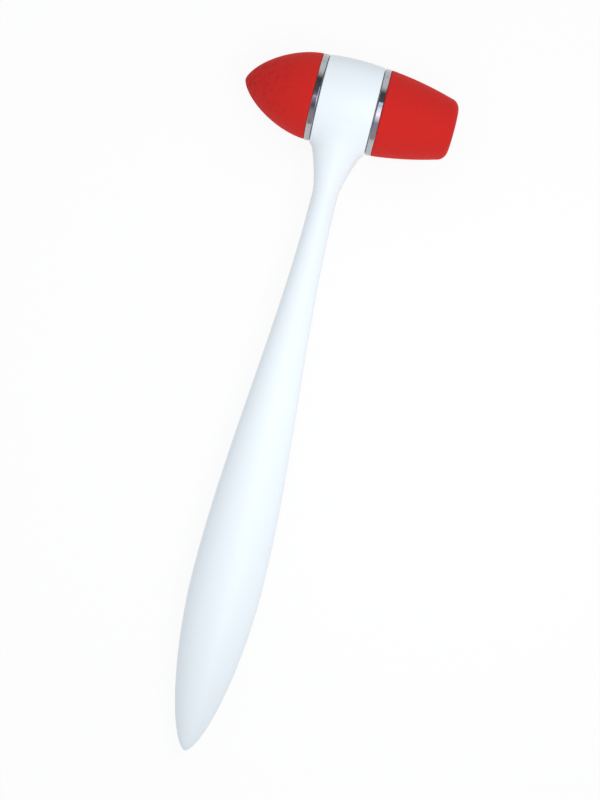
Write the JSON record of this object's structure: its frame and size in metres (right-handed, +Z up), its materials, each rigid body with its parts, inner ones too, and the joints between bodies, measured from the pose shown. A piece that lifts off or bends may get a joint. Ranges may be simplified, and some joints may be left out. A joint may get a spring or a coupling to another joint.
{
  "type": "reflex hammer",
  "caption": "Reflex hammer with a slim leaf-shaped handle, a barrel across its top, and a pointed and a blunt rubber tip held against chromed collars.",
  "frame": {"origin": "on the surface that the hammer lies on, under the middle of its outline", "axes": "+X along the head towards the blunt tip, +Y along the handle towards the head, +Z up"},
  "size_m": [0.06, 0.1996, 0.0253],
  "materials": {
    "white_plastic": "smooth gloss moulding",
    "red_rubber": "matte moulded rubber",
    "chrome": "polished",
    "steel": "turned",
    "brass": "turned"
  },
  "bodies": {
    "root": {"handle": "white_plastic", "clamp_stud": "steel", "pointed_collar": "chrome", "blunt_collar": "chrome", "pointed_tip": "red_rubber", "blunt_tip": "red_rubber", "pointed_insert": "brass", "blunt_insert": "brass"}
  },
  "joints": []
}
